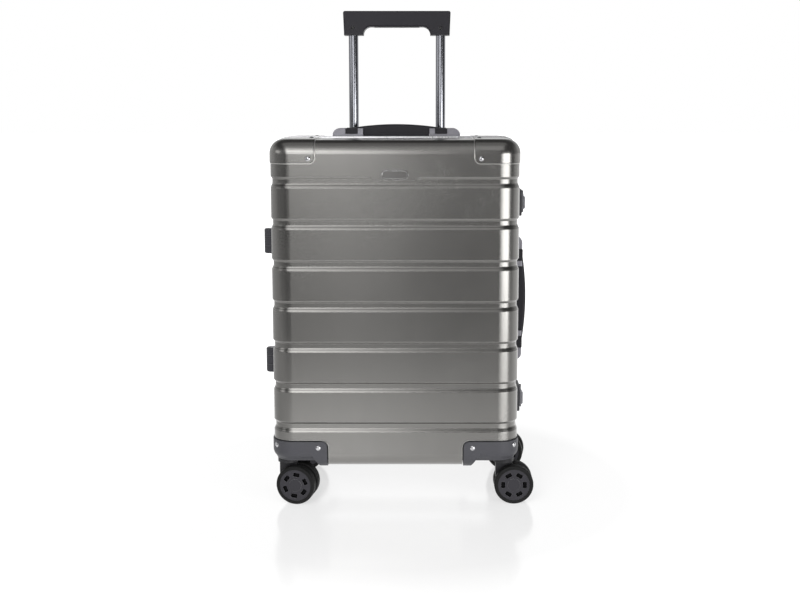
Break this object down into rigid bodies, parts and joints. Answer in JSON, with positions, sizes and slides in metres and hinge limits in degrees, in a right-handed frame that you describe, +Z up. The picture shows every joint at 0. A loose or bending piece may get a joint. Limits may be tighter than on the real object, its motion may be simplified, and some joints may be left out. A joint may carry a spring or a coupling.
{
  "type": "hard shell suitcase on wheels",
  "caption": "Grooved aluminium cabin suitcase with framed halves, side hinges and latches, lifting carry handles, telescopic trolley and swivelling twin-wheel casters.",
  "frame": {"origin": "on the floor, under the middle of the closed case, in the plane where the two halves part", "axes": "+X to the right seen from the front, where the latches are, +Y to the back, where the trolley is, +Z up"},
  "size_m": [0.4067, 0.2268, 0.73],
  "materials": {
    "shell_metal": "satin anodised gunmetal sheet with a fine grain",
    "frame_metal": "brushed extrusion",
    "guard_metal": "satin anodised sheet",
    "bright_metal": "polished",
    "badge_metal": "dark satin field inside a bright rim",
    "pin_steel": "turned",
    "lever_metal": "satin",
    "dial_metal": "fluted",
    "tube_metal": "satin anodised tube",
    "housing_plastic": "fine grain",
    "dark_fittings": "fine grain",
    "bracket_plastic": "satin",
    "grip_plastic": "soft touch",
    "button_plastic": "smooth",
    "fork_plastic": "satin",
    "hub_plastic": "satin",
    "tyre_rubber": "matt",
    "lining_fabric": "woven"
  },
  "bodies": {
    "rear_half": {"rear_shell": "shell_metal", "rear_frame": "frame_metal", "rear_corner_guards": "guard_metal", "rear_caster_housings": "housing_plastic", "rear_rivets": "bright_metal", "rear_lining": "lining_fabric", "rear_hinge_leaves": "dark_fittings", "hinge_pins": "pin_steel", "latch_bases": "dark_fittings", "top_handle_brackets": "bracket_plastic", "side_handle_brackets": "bracket_plastic", "trolley_outer_tubes": "tube_metal", "trolley_tray": "dark_fittings", "trolley_foot_clamps": "dark_fittings"},
    "front_half": {"front_shell": "shell_metal", "front_frame": "frame_metal", "front_corner_guards": "guard_metal", "front_caster_housings": "housing_plastic", "front_rivets": "bright_metal", "front_lining": "lining_fabric", "front_hinge_leaves": "dark_fittings", "latch_keepers": "dark_fittings", "badge_plate": "badge_metal"},
    "trolley_lower": {"trolley_middle_tubes": "tube_metal"},
    "trolley_upper": {"trolley_inner_tubes": "tube_metal", "trolley_grip": "grip_plastic", "grip_screws": "pin_steel"},
    "release_button": {"release_button": "button_plastic"},
    "top_handle": {"top_handle_grip": "grip_plastic"},
    "side_handle": {"side_handle_grip": "grip_plastic"},
    "upper_lever": {"upper_latch_lever": "lever_metal"},
    "lower_lever": {"lower_latch_lever": "lever_metal"},
    "dial_1": {"combination_dial_1": "dial_metal"},
    "dial_2": {"combination_dial_2": "dial_metal"},
    "dial_3": {"combination_dial_3": "dial_metal"},
    "front_left_caster": {"front_left_caster_fork": "fork_plastic", "front_left_caster_axle": "pin_steel"},
    "front_left_wheel_1": {"front_left_tyre_1": "tyre_rubber", "front_left_hub_1": "hub_plastic"},
    "front_left_wheel_2": {"front_left_tyre_2": "tyre_rubber", "front_left_hub_2": "hub_plastic"},
    "front_right_caster": {"front_right_caster_fork": "fork_plastic", "front_right_caster_axle": "pin_steel"},
    "front_right_wheel_1": {"front_right_tyre_1": "tyre_rubber", "front_right_hub_1": "hub_plastic"},
    "front_right_wheel_2": {"front_right_tyre_2": "tyre_rubber", "front_right_hub_2": "hub_plastic"},
    "rear_left_caster": {"rear_left_caster_fork": "fork_plastic", "rear_left_caster_axle": "pin_steel"},
    "rear_left_wheel_1": {"rear_left_tyre_1": "tyre_rubber", "rear_left_hub_1": "hub_plastic"},
    "rear_left_wheel_2": {"rear_left_tyre_2": "tyre_rubber", "rear_left_hub_2": "hub_plastic"},
    "rear_right_caster": {"rear_right_caster_fork": "fork_plastic", "rear_right_caster_axle": "pin_steel"},
    "rear_right_wheel_1": {"rear_right_tyre_1": "tyre_rubber", "rear_right_hub_1": "hub_plastic"},
    "rear_right_wheel_2": {"rear_right_tyre_2": "tyre_rubber", "rear_right_hub_2": "hub_plastic"}
  },
  "joints": [
    {"name": "lid_hinge", "type": "hinge", "parent": "rear_half", "child": "front_half", "pos_m": [-0.1918, 0, 0.289], "axis": [0, 0, -1], "range_deg": [0, 150]},
    {"name": "trolley_lower_slide", "type": "slide", "parent": "rear_half", "child": "trolley_lower", "axis": [0, 0, 1], "range_m": [0, 0.245]},
    {"name": "trolley_upper_slide", "type": "slide", "parent": "trolley_lower", "child": "trolley_upper", "axis": [0, 0, 1], "range_m": [-0.1775, 0.065]},
    {"name": "release_button_press", "type": "slide", "parent": "trolley_upper", "child": "release_button", "axis": [0, 0, 1], "range_m": [0, 0.003], "stiffness_N_per_m": 900, "springref_m": -0.001},
    {"name": "top_handle_lift", "type": "slide", "parent": "rear_half", "child": "top_handle", "axis": [0, 0, 1], "range_m": [0, 0.012]},
    {"name": "side_handle_pull", "type": "slide", "parent": "rear_half", "child": "side_handle", "axis": [1, 0, 0], "range_m": [0, 0.012], "stiffness_N_per_m": 150},
    {"name": "upper_latch_hinge", "type": "hinge", "parent": "rear_half", "child": "upper_lever", "pos_m": [0.1916, 0.01, 0.44], "axis": [0, 0, 1], "range_deg": [0, 95]},
    {"name": "lower_latch_hinge", "type": "hinge", "parent": "rear_half", "child": "lower_lever", "pos_m": [0.1916, 0.01, 0.138], "axis": [0, 0, 1], "range_deg": [0, 95]},
    {"name": "dial_1_turn", "type": "hinge", "parent": "rear_half", "child": "dial_1", "pos_m": [0.186, 0.0205, 0.4464], "axis": [0, 0, 1], "continuous": true},
    {"name": "dial_2_turn", "type": "hinge", "parent": "rear_half", "child": "dial_2", "pos_m": [0.186, 0.0205, 0.44], "axis": [0, 0, 1], "continuous": true},
    {"name": "dial_3_turn", "type": "hinge", "parent": "rear_half", "child": "dial_3", "pos_m": [0.186, 0.0205, 0.4336], "axis": [0, 0, 1], "continuous": true},
    {"name": "front_left_swivel", "type": "hinge", "parent": "front_half", "child": "front_left_caster", "pos_m": [-0.16, -0.084, 0.068], "axis": [0, 0, 1], "continuous": true},
    {"name": "front_left_wheel_1_spin", "type": "hinge", "parent": "front_left_caster", "child": "front_left_wheel_1", "pos_m": [-0.14523, -0.08661, 0.029], "axis": [0.1736, 0.9848, 0], "continuous": true},
    {"name": "front_left_wheel_2_spin", "type": "hinge", "parent": "front_left_caster", "child": "front_left_wheel_2", "pos_m": [-0.14523, -0.08661, 0.029], "axis": [0.1736, 0.9848, 0], "continuous": true},
    {"name": "front_right_swivel", "type": "hinge", "parent": "front_half", "child": "front_right_caster", "pos_m": [0.16, -0.084, 0.068], "axis": [0, 0, 1], "continuous": true},
    {"name": "front_right_wheel_1_spin", "type": "hinge", "parent": "front_right_caster", "child": "front_right_wheel_1", "pos_m": [0.175, -0.084, 0.029], "axis": [0, 1, 0], "continuous": true},
    {"name": "front_right_wheel_2_spin", "type": "hinge", "parent": "front_right_caster", "child": "front_right_wheel_2", "pos_m": [0.175, -0.084, 0.029], "axis": [0, 1, 0], "continuous": true},
    {"name": "rear_left_swivel", "type": "hinge", "parent": "rear_half", "child": "rear_left_caster", "pos_m": [-0.16, 0.084, 0.068], "axis": [0, 0, 1], "continuous": true},
    {"name": "rear_left_wheel_1_spin", "type": "hinge", "parent": "rear_left_caster", "child": "rear_left_wheel_1", "pos_m": [-0.14533, 0.08088, 0.029], "axis": [0.2079, 0.9781, 0], "continuous": true},
    {"name": "rear_left_wheel_2_spin", "type": "hinge", "parent": "rear_left_caster", "child": "rear_left_wheel_2", "pos_m": [-0.14533, 0.08088, 0.029], "axis": [0.2079, 0.9781, 0], "continuous": true},
    {"name": "rear_right_swivel", "type": "hinge", "parent": "rear_half", "child": "rear_right_caster", "pos_m": [0.16, 0.084, 0.068], "axis": [0, 0, 1], "continuous": true},
    {"name": "rear_right_wheel_1_spin", "type": "hinge", "parent": "rear_right_caster", "child": "rear_right_wheel_1", "pos_m": [0.17481, 0.08165, 0.029], "axis": [0.1564, 0.9877, 0], "continuous": true},
    {"name": "rear_right_wheel_2_spin", "type": "hinge", "parent": "rear_right_caster", "child": "rear_right_wheel_2", "pos_m": [0.17481, 0.08165, 0.029], "axis": [0.1564, 0.9877, 0], "continuous": true}
  ]
}
